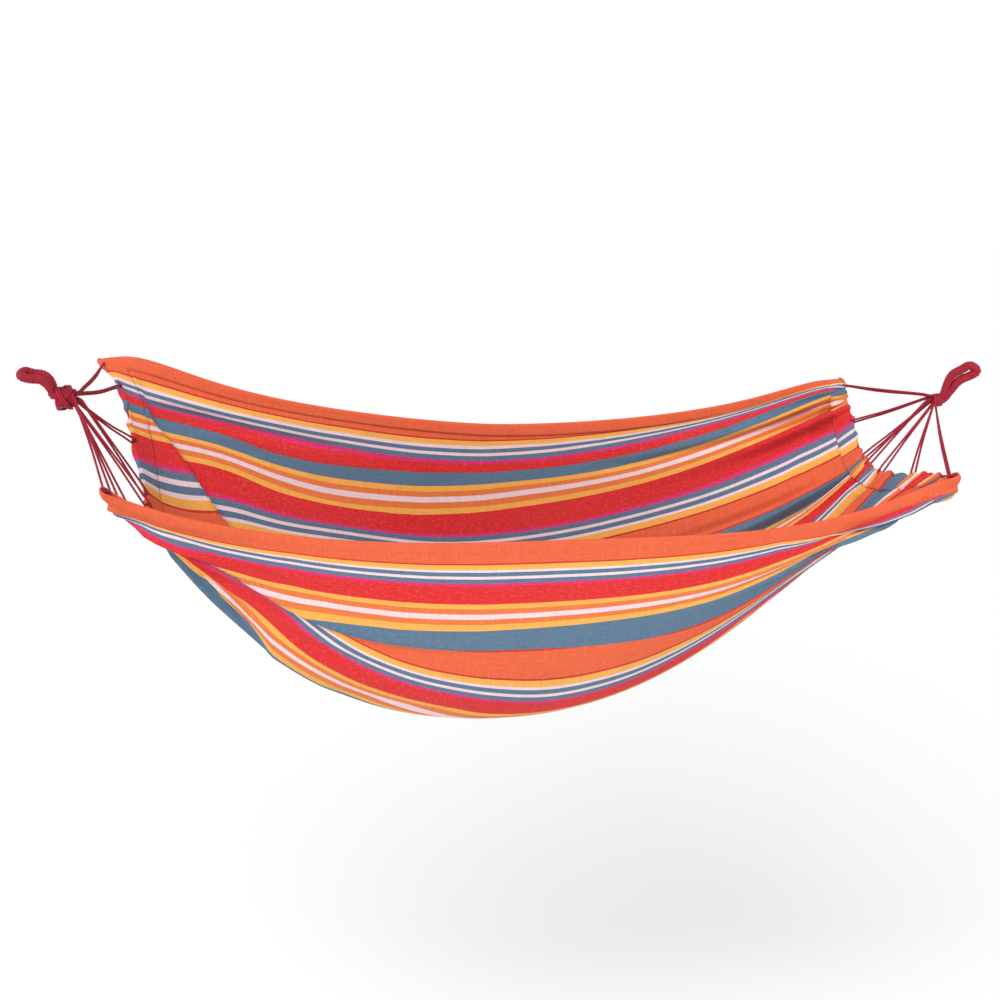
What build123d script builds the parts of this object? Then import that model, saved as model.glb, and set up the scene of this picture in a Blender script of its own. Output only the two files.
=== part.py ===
from build123d import *
import math
import os

# A cloth hammock hung on cords. A striped cloth hangs as a trough between two hems, a cord runs
# through the tunnel of each hem, seven doubled cords (clews) fan out from that cord to a neck,
# and past the neck the same cords make a served hanging eye that goes on a hook.
# Millimetres, +Z up, X along the hammock, the origin where the left hook carries the left eye.

os.makedirs("parts", exist_ok=True)

# ---- driving dimensions ---------------------------------------------------------------------
NECK_X = 1048.0           # from the middle of the hammock to the inner face of each neck binding
CORD_D = 5.5              # clew cord
STRAND_GAP = 0.3          # between two cords side by side at the neck
HEM_CORD_D = 7.0          # cord inside each end hem
HEM_KNOT_D = 14.0         # stopper knot on each end of the hem cord
CLOTH_T = 1.5             # cloth, its two faces apart
TUNNEL_R = 11.0           # end hem tunnel, outside
TUNNEL_BORE_R = 10.0
MOUTH = 30.0              # the hem cord stands this far out of each tunnel mouth
HEM_HOLE_D = 19.0         # round hole that a clew goes in and out by
CORNER_WRAP = 15.5        # from a stopper knot's middle to the corner clew beside it
WRAP_FIT = 0.3            # between a clew and the hem cord that it goes round
EYE_CORE_D = 13.4         # seven cords laid together
SERVING_D = 22.5          # over the cord wound round them
SERVING_FIT = 0.15        # between the core and the serving
EYE_GAP = 7.0             # width between the eye's legs, which give way to a hook
NECK_GAP = 0.5            # between the clews and the binding, which turn against each other
THREAD_D = 1.0            # sewing thread
SEAM_OFF = 1.7            # from the middle of the cloth to the middle of the thread
SIDE_SEAM_V = 0.03        # side hem stitching, as a share of the cloth's width
TUNNEL_SEAM_U = 0.026     # tunnel stitching, as a share of the cloth's length
NECK_BORE_R = 14.4
NECK_SWELL = 2.0          # the binding is this much slimmer at its two ends
LEG_OFFSET = 6.9          # of each of the eye's two legs from the middle of the neck
EYE_SPREAD = 30.0         # the legs reach their full distance apart in this length
SERVING_START = 0.5       # share of that length left bare
CELL_R = 13.2             # the clews stand at the neck as one pair in the middle and six round it
# Where each clew stands in the neck, as an angle about it from the back, and how far it runs
# level before it turns down to its hole: from the front corner's clew to the back corner's.
CELL_ANGLE = [150, 210, 270, None, 330, 30, 90]
LEVEL_RUN = [12.0, 12.0, 12.0, 25.0, 12.0, 12.0, 25.0]
# Where the five inner clews of each end go round its hem cord, as shares of the cord's length.
CLEW_SHARES = {
    "left": [0.144, 0.415, 0.460, 0.663, 0.870],
    "right": [0.208, 0.420, 0.535, 0.590, 0.785],
}

SIDES = {
    "left": dict(
        sign=-1,
        eye_rise=42.9,    # degrees that the eye leans up from the neck
        eye_turn=0.0,     # degrees that its flat side is turned about its own length
        eye_reach=95.5,   # from the bend outside the binding to the tip
        bend_out=6.0,     # from the binding to that bend
        neck_len=40.0,
        neck_r=22.0,
        neck_turns=8,
    ),
    "right": dict(
        sign=1,
        eye_rise=56.0,
        eye_turn=90.0,
        eye_reach=111.0,
        bend_out=14.0,
        neck_len=27.0,
        neck_r=20.5,
        neck_turns=6,
    ),
}
# The line of each hem cord, from the front corner to the back one, as the hammock hangs:
# x from the middle of the hammock, z from the level of the necks. Seven clews hold it there.
LEFT_HEM = [
    (-947.0, -260.0, -152.0),
    (-902.0, -200.0, -232.0),
    (-872.0, -112.0, -284.0),
    (-882.0, -6.0, -262.0),
    (-924.0, 110.0, -142.0),
    (-962.0, 204.0, 8.0),
    (-1020.0, 262.0, 43.0),
]
RIGHT_HEM = [
    (997.0, -260.0, -131.0),
    (954.0, -188.0, -152.0),
    (927.0, -100.0, -172.0),
    (911.0, -12.0, -184.0),
    (906.0, 84.0, -172.0),
    (908.0, 172.0, -92.0),
    (901.0, 260.0, 3.0),
]
# How each lengthwise row of the cloth hangs below and beside the straight line between its two
# hem points, at mid-length, and how square its curve is towards each end: a high power falls
# steeply at the hem and is flat in the middle.
ROW_DROP = [133.0, 322.0, 508.0, 566.0, 452.0, 306.0, 108.0]
ROW_SHIFT = [8.0, -52.0, -57.0, 28.0, 43.0, 3.0, -52.0]
ROW_POWER = {
    "left": [2.8, 2.25, 2.55, 2.6, 2.3, 2.0, 1.65],
    "right": [4.2, 2.4, 1.95, 2.2, 2.0, 1.95, 1.65],
}
# The back rim stands up just inside its two corners: how far, and where along the cloth.
CORNER_RISE = [40.0, 32.0]
CORNER_AT = 0.05
STATIONS = [0.0, 0.02, 0.05, 0.12, 0.22, 0.35, 0.5, 0.65, 0.78, 0.88, 0.95, 0.98, 1.0]


def eye_frame(side):
    """The eye's lengthwise and crosswise directions."""
    rise = math.radians(side["eye_rise"])
    turn = math.radians(side["eye_turn"])
    along = Vector(side["sign"] * math.cos(rise), 0, math.sin(rise))
    up = Vector(-side["sign"] * math.sin(rise), 0, math.cos(rise))
    across = Vector(0, math.cos(turn), 0) + up * math.sin(turn)
    return along, across


def hook_point(side):
    """Where the hook bears inside the eye, from the middle of the hammock."""
    along, _ = eye_frame(side)
    bend = Vector(side["sign"] * (NECK_X + side["neck_len"] + side["bend_out"]), 0, 0)
    return bend + along * (side["eye_reach"] - SERVING_D)


ORIGIN = hook_point(SIDES["left"])


def place(x, y, z):
    """A point given from the middle of the hammock and the neck level, in the part's frame."""
    return Vector(x, y, z) - ORIGIN


def arc_radii(points, smallest=0.0):
    """One radius for each corner of a route: 0.45 of the shorter run over tan(half the turn)."""
    radii = []
    for before, corner, after in zip(points, points[1:], points[2:]):
        first = corner - before
        second = after - corner
        half_turn = math.radians(first.get_angle(second)) / 2
        radius = 0.45 * min(first.length, second.length) / math.tan(half_turn)
        radii.append(max(radius, smallest))
    return radii


def report(name, radii, diameter):
    print(f"{name}: bend radii", [round(r, 1) for r in radii], "mm, cord", diameter, "mm")


def check_volume(name, solid, section, length):
    print(f"{name}: volume over section times length = {solid.volume / (section * length):.4f}")


def circle_area(diameter):
    return math.pi * diameter ** 2 / 4


def hem_points(name):
    hem = LEFT_HEM if name == "left" else RIGHT_HEM
    return [place(*point) for point in hem]


# ---- hem cords: one through each end hem, a stopper knot on both ends -----------------------
hem_lines = {}
for name in SIDES:
    route = hem_points(name)
    radii = arc_radii(route)
    report(f"{name}_hem_cord", radii, HEM_CORD_D)
    with BuildPart() as hem_cord:
        with BuildLine() as route_line:
            FilletPolyline(*route, radius=radii)
        line = route_line.wires()[0]
        with BuildSketch(Plane(line @ 0, z_dir=line % 0)):
            Circle(HEM_CORD_D / 2)
        sweep(path=line)
        check_volume(f"{name}_hem_cord", hem_cord.part, circle_area(HEM_CORD_D), line.length)
        with Locations(line @ 0, line @ 1):
            Sphere(HEM_KNOT_D / 2)
    hem_cord.part.label = f"{name}_hem_cord"
    export_step(hem_cord.part, f"parts/{name}_hem_cord.step")
    hem_lines[name] = line


def row_shares(name):
    """Where the cloth's seven rows meet the hem cord, as shares of the cord's length."""
    route = hem_points(name)
    runs = [(b - a).length for a, b in zip(route, route[1:])]
    mouth = MOUTH / hem_lines[name].length
    inner = [sum(runs[:k]) / sum(runs) for k in range(1, len(runs))]
    return [mouth] + inner + [1 - mouth]


ROW_SHARES = {name: row_shares(name) for name in SIDES}


def cloth_point(u, row):
    """A point of the cloth: u runs from the left hem to the right one."""
    left = hem_lines["left"] @ ROW_SHARES["left"][row]
    right = hem_lines["right"] @ ROW_SHARES["right"][row]
    power = ROW_POWER["left" if u < 0.5 else "right"][row]
    depth = 1 - abs(2 * u - 1) ** power
    hang = Vector(0, ROW_SHIFT[row], -ROW_DROP[row]) * depth
    if row == len(ROW_DROP) - 1:
        for rise, away in zip(CORNER_RISE, (u, 1 - u)):
            hang += Vector(0, 0, rise) * (away / CORNER_AT) * math.exp(1 - away / CORNER_AT)
    return left + (right - left) * u + hang


# ---- clews: seven doubled cords at each end, each round the hem cord through a hem hole -----
def wrap_spot(name, number):
    """Where a clew goes round the hem cord: the place and the cord's direction there."""
    line = hem_lines[name]
    beside_knot = CORNER_WRAP / line.length
    shares = [beside_knot] + CLEW_SHARES[name] + [1 - beside_knot]
    share = shares[number]
    return line @ share, line % share


def clew_route(name, number):
    """The clew's route points from the neck, round the hem cord and back to the neck."""
    sign = SIDES[name]["sign"]
    cell = Vector(0, 0, 0)
    if CELL_ANGLE[number] is not None:
        angle = math.radians(CELL_ANGLE[number])
        cell = Vector(0, math.cos(angle), math.sin(angle)) * CELL_R
    face = place(sign * (NECK_X - NECK_GAP), 0, 0) + cell
    turn = face - Vector(sign * LEVEL_RUN[number], 0, 0)
    spot, hem_way = wrap_spot(name, number)
    way = (turn - spot).normalized()
    beside = hem_way.cross(way).normalized()
    skew = 1 / hem_way.cross(way).length - 1
    radius = HEM_CORD_D / 2 + CORD_D / 2 + WRAP_FIT
    end = spot - way * radius * (1 + skew)
    flat = Vector(0, beside.Y, beside.Z).normalized() * (CORD_D + STRAND_GAP) / 2
    out = [face + flat, turn + flat, end + beside * radius]
    back = [end - beside * radius, turn - flat, face - flat]
    return out + back, radius


for name in SIDES:
    for number in range(len(CELL_ANGLE)):
        route, wrap = clew_route(name, number)
        label = f"{name}_clew_{number + 1}"
        radii = arc_radii(route)
        radii[1] = radii[2] = wrap * 0.98
        report(label, radii, CORD_D)
        with BuildPart() as clew:
            with BuildLine() as route_line:
                FilletPolyline(*route, radius=radii)
            line = route_line.wires()[0]
            with BuildSketch(Plane(line @ 0, z_dir=line % 0)):
                Circle(CORD_D / 2)
            sweep(path=line)
        check_volume(label, clew.part, circle_area(CORD_D), line.length)
        print(f"{label}: length {line.length:.0f} mm")
        clew.part.label = label
        export_step(clew.part, f"parts/{label}.step")


# ---- hanging eyes: the cords' own loop, and the cord served round it -------------------------
def eye_route(name):
    """The route of one leg of the eye from the neck to the tip, and of the other leg back."""
    side = SIDES[name]
    along, across = eye_frame(side)
    turn = math.radians(side["eye_turn"])
    level = Vector(0, math.cos(turn), math.sin(turn))
    face = place(side["sign"] * (NECK_X + NECK_GAP), 0, 0)
    bend = place(side["sign"] * (NECK_X + side["neck_len"] + side["bend_out"]), 0, 0)
    half = (EYE_GAP + SERVING_D) / 2
    full = bend + along * EYE_SPREAD
    tip = bend + along * (side["eye_reach"] - SERVING_D / 2)
    out = [face + level * LEG_OFFSET, bend + level * LEG_OFFSET, full + across * half, tip + across * half]
    back = [tip - across * half, full - across * half, bend - level * LEG_OFFSET, face - level * LEG_OFFSET]
    return out + back


for name in SIDES:
    route = eye_route(name)
    radii = arc_radii(route)
    report(f"{name}_eye_core", radii, EYE_CORE_D)
    with BuildPart() as eye_core:
        with BuildLine() as route_line:
            FilletPolyline(*route, radius=radii)
        line = route_line.wires()[0]
        with BuildSketch(Plane(line @ 0, z_dir=line % 0)):
            Circle(EYE_CORE_D / 2)
        sweep(path=line)
    check_volume(f"{name}_eye_core", eye_core.part, circle_area(EYE_CORE_D), line.length)
    eye_core.part.label = f"{name}_eye_core"
    export_step(eye_core.part, f"parts/{name}_eye_core.step")

    start = route[1] + (route[2] - route[1]) * SERVING_START
    finish = route[6] + (route[5] - route[6]) * SERVING_START
    with BuildPart() as serving:
        with BuildLine() as route_line:
            FilletPolyline(start, *route[2:6], finish, radius=radii[1:5])
        line = route_line.wires()[0]
        with BuildSketch(Plane(line @ 0, z_dir=line % 0)):
            Circle(SERVING_D / 2)
            Circle(EYE_CORE_D / 2 + SERVING_FIT, mode=Mode.SUBTRACT)
        sweep(path=line)
    serving.part.label = f"{name}_eye_serving"
    export_step(serving.part, f"parts/{name}_eye_serving.step")


# ---- neck bindings: cord wound round the neck, each turn a rib -------------------------------
for name, side in SIDES.items():
    pitch = side["neck_len"] / side["neck_turns"]
    inner = place(side["sign"] * NECK_X, 0, 0)
    axis_plane = Plane(inner, x_dir=(side["sign"], 0, 0), z_dir=(0, -side["sign"], 0))
    with BuildPart() as binding:
        with BuildSketch(axis_plane):
            for turn in range(side["neck_turns"]):
                along = (turn + 0.5) * pitch
                bulge = 1 - (2 * along / side["neck_len"] - 1) ** 2
                outside = side["neck_r"] - NECK_SWELL * (1 - bulge)
                with Locations((along, outside - pitch / 2)):
                    Circle(pitch / 2)
                height = outside - pitch / 2 - NECK_BORE_R
                with Locations((along, NECK_BORE_R + height / 2)):
                    Rectangle(pitch, height)
        revolve(axis=Axis(inner, (1, 0, 0)))
    binding.part.label = f"{name}_neck_binding"
    export_step(binding.part, f"parts/{name}_neck_binding.step")


# ---- the cloth: one sheet, each end folded back as a tunnel with five round holes ------------
grid = [[cloth_point(u, row) for row in range(len(ROW_DROP))] for u in STATIONS]
sheet = Face.make_surface_from_array_of_points(grid, tol=0.5, min_deg=3, max_deg=5)
with BuildPart() as cloth:
    thicken(sheet, amount=CLOTH_T / 2, both=True)
    for name, line in hem_lines.items():
        tunnel = line.trim(MOUTH / line.length, 1 - MOUTH / line.length)
        with BuildSketch(Plane(tunnel @ 0, z_dir=tunnel % 0)):
            Circle(TUNNEL_R)
        sweep(path=tunnel)
    for name, line in hem_lines.items():
        with BuildSketch(Plane(line @ 0, z_dir=line % 0)):
            Circle(TUNNEL_BORE_R)
        sweep(path=line, mode=Mode.SUBTRACT)
    for name in SIDES:
        for number in range(1, len(CELL_ANGLE) - 1):
            spot, _ = wrap_spot(name, number)
            route, _ = clew_route(name, number)
            way = (route[1] + route[4]) * 0.5 - spot
            with BuildSketch(Plane(spot, z_dir=way)):
                Circle(HEM_HOLE_D / 2)
            extrude(amount=TUNNEL_R * 1.5, mode=Mode.SUBTRACT)
cloth.part.label = "bed_cloth"
export_step(cloth.part, "parts/bed_cloth.step")
print("bed_cloth solids", len(cloth.part.solids()), "valid", cloth.part.is_valid)


# ---- sewing threads: one line of stitching on each hem, along the face of the cloth ----------
def seam_route(count, spot):
    """Points along a seam, each standing off the middle of the cloth by SEAM_OFF."""
    points = []
    for k in range(count + 1):
        u, v = spot(k / count)
        here = sheet.position_at(u, v)
        points.append(here + sheet.normal_at(here) * SEAM_OFF)
    return points


SEAMS = {
    "front_side_thread": (36, lambda share: (0.03 + 0.94 * share, SIDE_SEAM_V)),
    "back_side_thread": (36, lambda share: (0.03 + 0.94 * share, 1 - SIDE_SEAM_V)),
    "left_tunnel_thread": (30, lambda share: (TUNNEL_SEAM_U, 0.02 + 0.96 * share)),
    "right_tunnel_thread": (30, lambda share: (1 - TUNNEL_SEAM_U, 0.02 + 0.96 * share)),
}
for label, (count, spot) in SEAMS.items():
    route = seam_route(count, spot)
    with BuildPart() as thread:
        with BuildLine() as route_line:
            FilletPolyline(*route, radius=arc_radii(route))
        line = route_line.wires()[0]
        with BuildSketch(Plane(line @ 0, z_dir=line % 0)):
            Circle(THREAD_D / 2)
        sweep(path=line)
    check_volume(label, thread.part, circle_area(THREAD_D), line.length)
    thread.part.label = label
    export_step(thread.part, f"parts/{label}.step")
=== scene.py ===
import math

import bpy
import numpy as np
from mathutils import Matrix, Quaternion, Vector


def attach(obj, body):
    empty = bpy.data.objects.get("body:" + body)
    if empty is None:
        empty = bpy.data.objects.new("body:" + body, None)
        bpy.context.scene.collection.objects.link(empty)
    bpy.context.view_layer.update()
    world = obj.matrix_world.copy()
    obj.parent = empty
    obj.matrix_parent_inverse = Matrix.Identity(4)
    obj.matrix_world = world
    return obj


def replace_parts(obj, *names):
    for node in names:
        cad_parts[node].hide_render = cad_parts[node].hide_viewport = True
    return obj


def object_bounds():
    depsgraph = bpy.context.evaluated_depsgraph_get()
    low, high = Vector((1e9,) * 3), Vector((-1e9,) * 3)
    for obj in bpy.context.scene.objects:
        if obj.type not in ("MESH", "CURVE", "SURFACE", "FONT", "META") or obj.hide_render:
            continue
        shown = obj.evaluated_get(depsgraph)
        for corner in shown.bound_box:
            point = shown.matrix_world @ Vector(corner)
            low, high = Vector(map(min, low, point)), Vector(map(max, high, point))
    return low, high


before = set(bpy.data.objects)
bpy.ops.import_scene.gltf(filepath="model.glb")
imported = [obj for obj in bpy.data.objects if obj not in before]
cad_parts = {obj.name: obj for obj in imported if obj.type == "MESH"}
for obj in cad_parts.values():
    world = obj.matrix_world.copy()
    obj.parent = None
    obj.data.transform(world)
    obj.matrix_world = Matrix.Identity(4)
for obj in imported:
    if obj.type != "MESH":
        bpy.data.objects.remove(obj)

# A cloth hammock on cords: the striped cloth, its hem cords, fourteen clews, and the bound necks
# and served eyes at its two ends. Metres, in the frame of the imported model.

cad_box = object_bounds()
draw = np.random.default_rng(7)

# ---- sizes and places, as the CAD model has them
CLOTH_WIDTH, CLOTH_LENGTH = 1.4, 2.0  # laid flat, without its side hems and end tunnels
NECK_X = 1.048  # from the middle of the hammock to each neck
CORD_D = 0.0055  # a clew's cord
STRAND_GAP = 0.0003  # between the two cords of a clew
HEM_CORD_D = 0.007
MOUTH = 0.03  # from a hem cord's end to where the cloth's edge rows hang on it
CORNER_WRAP = 0.0155  # from a hem cord's end to the corner clew
WRAP_FIT = 0.0003  # between a clew and the hem cord that it goes round
EYE_CORE_D = 0.0134  # seven cords laid together
SERVING_D = 0.0225
EYE_GAP = 0.007  # between the two legs of an eye
NECK_GAP = 0.0005  # from the middle of the neck to the clews' ends, and to the eye core's
# The clews' places in the neck: angles on a ring of this radius, with one clew in the middle,
# and how far each runs level before it turns down.
CELL_R = 0.0132
CELL_ANGLE = [150, 210, 270, None, 330, 30, 90]
LEVEL_RUN = [0.012, 0.012, 0.012, 0.025, 0.012, 0.012, 0.025]
# Where the clews between the corners go round the hem cord, as shares of its length.
CLEW_SHARES = {
    "left": [0.144, 0.415, 0.46, 0.663, 0.87],
    "right": [0.208, 0.42, 0.535, 0.59, 0.785],
}
SIDES = {
    "left": dict(sign=-1, eye_rise=42.9, eye_turn=0.0, eye_reach=0.0955, bend_out=0.006,
                 neck_len=0.04),
    "right": dict(sign=1, eye_rise=56.0, eye_turn=90.0, eye_reach=0.111, bend_out=0.014,
                  neck_len=0.027),
}
# The line of each hem cord from the front corner to the back one: x from the middle of the
# hammock, z from the level of the necks.
HEMS = {
    "left": [
        (-0.947, -0.26, -0.152), (-0.902, -0.2, -0.232), (-0.872, -0.112, -0.284),
        (-0.882, -0.006, -0.262), (-0.924, 0.11, -0.142), (-0.962, 0.204, 0.008),
        (-1.02, 0.262, 0.043),
    ],
    "right": [
        (0.997, -0.26, -0.131), (0.954, -0.188, -0.152), (0.927, -0.1, -0.172),
        (0.911, -0.012, -0.184), (0.906, 0.084, -0.172), (0.908, 0.172, -0.092),
        (0.901, 0.26, 0.003),
    ],
}
# The cloth's seven rows, hem to hem: how far each sags and shifts sideways at mid-length, and how
# full its curve is towards each end.
ROW_DROP = [0.133, 0.322, 0.508, 0.566, 0.452, 0.306, 0.108]
ROW_SHIFT = [0.008, -0.052, -0.057, 0.028, 0.043, 0.003, -0.052]
ROW_POWER = {
    "left": [2.8, 2.25, 2.55, 2.6, 2.3, 2.0, 1.65],
    "right": [4.2, 2.4, 1.95, 2.2, 2.0, 1.95, 1.65],
}
# The back edge stands up near its corners, most at this share of the cloth's length.
CORNER_RISE = [0.04, 0.032]
CORNER_AT = 0.05


def eye_frame(side):
    """The eye's lengthwise and crosswise directions."""
    rise = math.radians(side["eye_rise"])
    turn = math.radians(side["eye_turn"])
    along = Vector((side["sign"] * math.cos(rise), 0, math.sin(rise)))
    up = Vector((-side["sign"] * math.sin(rise), 0, math.cos(rise)))
    across = Vector((0, math.cos(turn), 0)) + up * math.sin(turn)
    return along, across


def hook_point(side):
    """Where the hook bears inside the eye, from the middle of the hammock."""
    along, _ = eye_frame(side)
    bend = Vector((side["sign"] * (NECK_X + side["neck_len"] + side["bend_out"]), 0, 0))
    return bend + along * (side["eye_reach"] - SERVING_D)


ORIGIN = hook_point(SIDES["left"])


def place(x, y, z):
    """A point given from the middle of the hammock and the neck level, in the model's frame."""
    return Vector((x, y, z)) - ORIGIN


# ---- lines and the skins round them
def spline_line(route, resolution=24):
    """The smooth NURBS line that has the route's points as its control points."""
    curve = bpy.data.curves.new("route", "CURVE")
    curve.dimensions = "3D"
    curve.resolution_u = resolution
    spline = curve.splines.new("NURBS")
    spline.points.add(len(route) - 1)
    for control, point in zip(spline.points, route):
        control.co = (*point, 1)
    spline.order_u = 3
    spline.use_endpoint_u = True
    holder = bpy.data.objects.new("route", curve)
    mesh = bpy.data.meshes.new_from_object(holder)
    line = np.array([vertex.co for vertex in mesh.vertices], float)
    bpy.data.objects.remove(holder)
    bpy.data.curves.remove(curve)
    bpy.data.meshes.remove(mesh)
    return line


def distances(line):
    """Distance of each point of a line from its start, measured along it."""
    steps = np.linalg.norm(np.diff(line, axis=0), axis=1)
    return np.concatenate([[0], np.cumsum(steps)])


def sample(values, run, marks):
    """Values given along a line, read off where the distance along it reaches each mark."""
    return np.stack([np.interp(marks, run, values[:, k]) for k in range(3)], axis=1)


def evenly(line, spacing):
    """The same line with its points an even distance apart, near the spacing asked for."""
    run = distances(line)
    count = max(8, int(round(run[-1] / spacing)))
    return sample(line, run, np.linspace(0, run[-1], count + 1))


def unit(vectors):
    """The same directions, each of length 1."""
    return vectors / np.maximum(np.linalg.norm(vectors, axis=-1, keepdims=True), 1e-12)


def ease(x):
    """A smooth step from 0 to 1."""
    x = np.clip(x, 0, 1)
    return x * x * (3 - 2 * x)


def carried_frames(line):
    """Two crosswise directions at each point, carried along the line without twist."""
    tangent = unit(np.gradient(line, axis=0))
    start = np.cross(tangent[0], (0.0, 0.0, 1.0))
    if np.linalg.norm(start) < 0.1:
        start = np.cross(tangent[0], (0.0, 1.0, 0.0))
    normal = [start / np.linalg.norm(start)]
    for way in tangent[1:]:
        turned = normal[-1] - way * (normal[-1] @ way)
        normal.append(turned / np.linalg.norm(turned))
    normal = np.array(normal)
    return normal, np.cross(tangent, normal)


def mesh_object(name, points, faces, uvs=None):
    """A smooth mesh object. uvs holds its UV layers by name, with one pair for each vertex."""
    mesh = bpy.data.meshes.new(name)
    mesh.from_pydata([tuple(p) for p in points], [], [tuple(int(k) for k in f) for f in faces])
    corner = np.empty(len(mesh.loops), np.int32)
    mesh.loops.foreach_get("vertex_index", corner)
    for layer, pairs in (uvs or {}).items():
        data = mesh.uv_layers.new(name=layer).data
        data.foreach_set("uv", np.asarray(pairs, np.float32)[corner].ravel())
    mesh.polygons.foreach_set("use_smooth", [True] * len(mesh.polygons))
    mesh.update()
    made = bpy.data.objects.new(name, mesh)
    bpy.context.scene.collection.objects.link(made)
    return made


def grid_faces(rows, columns, closed):
    """Quads between rows of vertices, joined round into a tube where closed is true."""
    span = columns if closed else columns - 1
    i, j = np.meshgrid(np.arange(rows - 1), np.arange(span), indexing="ij")
    k = (j + 1) % columns
    quads = [i * columns + j, i * columns + k, (i + 1) * columns + k, (i + 1) * columns + j]
    return np.stack(quads, axis=-1).reshape(-1, 4)


def rings(first, second, angle):
    """Directions at angles round each point of a line, between its two crosswise directions."""
    turn = angle[None, :, None]
    return first[:, None] * np.cos(turn) + second[:, None] * np.sin(turn)


def skin(name, line, radius_of, around, body, slot):
    """A cord: a closed tube round a line. radius_of takes distance along it and angle round it."""
    normal, side = carried_frames(line)
    run = distances(line)
    angle = np.arange(around) * 2 * math.pi / around
    radius = radius_of(run[:, None], angle[None, :])
    points = (line[:, None] + rings(normal, side, angle) * radius[..., None]).reshape(-1, 3)
    faces = grid_faces(len(line), around, closed=True).tolist()
    last = (len(line) - 1) * around
    faces += [[around - 1 - k for k in range(around)], [last + k for k in range(around)]]
    uvs = np.stack(np.broadcast_arrays(run[:, None], angle[None, :] / (2 * math.pi)), axis=-1)
    return fit_out(mesh_object(name, points, faces, {"lay": uvs.reshape(-1, 2)}), body, slot)


def rounded_ends(run, radius):
    """Share of the full radius near a line's two ends, so that they close as domes."""
    near = np.minimum(run, run.max() - run) / radius
    return np.sqrt(np.clip(1 - (1 - np.clip(near, 0, 1)) ** 2, 0.02, 1))


def laid_radius(diameter, strands=3, pitch=3.6, groove=0.2):
    """The outline of cord laid from strands that twist round each other."""
    def radius_of(run, angle):
        turn = angle - 2 * math.pi * run / (pitch * diameter)
        crown = 1 - groove * (1 - np.abs(np.cos(strands / 2 * turn))) ** 1.2
        return diameter / 2 * crown * rounded_ends(run, diameter / 2)
    return radius_of


def wound_radius(diameter, pitch):
    """The outline of cord wound close round a core: each turn is a ridge."""
    def radius_of(run, angle):
        across = (run / pitch - angle / (2 * math.pi)) % 1 - 0.5
        crown = np.sqrt(np.clip(0.25 - across ** 2, 0.02, 1)) * pitch - 0.5 * pitch
        uneven = 1 + 0.02 * np.sin(run * 310) * np.sin(run * 97 + 1)
        return (diameter / 2 + crown) * uneven * rounded_ends(run, pitch)
    return radius_of


def fit_out(piece, body, slot):
    """Puts a finished piece on its body, with its material slot and that slot's material."""
    piece.data.materials.clear()
    piece.data.materials.append(MATERIALS[slot])
    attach(piece, body)
    return piece


# ---- materials
def srgb(text):
    """A hex colour as the linear RGBA that shaders take."""
    parts = [int(text[k:k + 2], 16) / 255 for k in (0, 2, 4)]
    return [c / 12.92 if c <= 0.04045 else ((c + 0.055) / 1.055) ** 2.4 for c in parts] + [1]


class Nodes:
    """Short ways to add and join the nodes of a material or a world."""

    def __init__(self, owner, shader):
        self.owner = owner
        owner.use_nodes = True
        self.tree = owner.node_tree
        self.shader = self.tree.nodes[shader]

    def add(self, kind, **settings):
        node = self.tree.nodes.new("ShaderNode" + kind)
        for key, value in settings.items():
            setattr(node, key, value)
        return node

    def join(self, out, into):
        self.tree.links.new(out, into)

    def feed(self, node, inputs):
        for key, value in inputs.items():
            if hasattr(value, "is_linked"):
                self.join(value, node.inputs[key])
            else:
                node.inputs[key].default_value = value

    def math(self, operation, first, second=0.0, third=0.0, clamp=False):
        node = self.add("Math", operation=operation, use_clamp=clamp)
        self.feed(node, {0: first, 1: second, 2: third})
        return node.outputs[0]

    def noise(self, vector, scale, detail=2.0, roughness=0.5):
        node = self.add("TexNoise")
        self.feed(node, {"Vector": vector, "Scale": scale, "Detail": detail, "Roughness": roughness})
        return node.outputs["Fac"]

    def pair(self, layer):
        """The two values that a UV layer holds."""
        split = self.add("SeparateXYZ")
        self.join(self.add("UVMap", uv_map=layer).outputs["UV"], split.inputs[0])
        return split.outputs[0], split.outputs[1]

    def stretch(self, vector, scale):
        node = self.add("Mapping")
        self.feed(node, {"Vector": vector, "Scale": scale})
        return node.outputs["Vector"]

    def ramp(self, value, stops, interpolation="LINEAR"):
        node = self.add("ValToRGB")
        ramp = node.color_ramp
        ramp.interpolation = interpolation
        while len(ramp.elements) < len(stops):
            ramp.elements.new(1.0)
        for element, (position, colour) in zip(ramp.elements, stops):
            element.position = position
            element.color = colour
        self.join(value, node.inputs["Fac"])
        return node.outputs["Color"]

    def mix(self, share, first, second, blend="MIX"):
        node = self.add("Mix", data_type="RGBA", blend_type=blend)
        self.feed(node, {0: share, 6: first, 7: second})
        return node.outputs[2]

    def bump(self, height, distance, strength=1.0, under=None):
        node = self.add("Bump")
        self.feed(node, {"Height": height, "Distance": distance, "Strength": strength})
        if under is not None:
            self.join(under, node.inputs["Normal"])
        return node.outputs["Normal"]

    def finish(self, colour, normal, **others):
        self.feed(self.shader, {"Base Color": colour, "Normal": normal, **others})
        return self.owner


def surface_nodes(name, roughness, specular=0.3, sheen=0.0):
    """The nodes of a new material, with the values that are the same all over it."""
    n = Nodes(bpy.data.materials.new(name), "Principled BSDF")
    n.feed(n.shader, {"Roughness": roughness, "Specular IOR Level": specular,
                      "Sheen Weight": sheen, "Sheen Roughness": 0.6})
    return n


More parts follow.
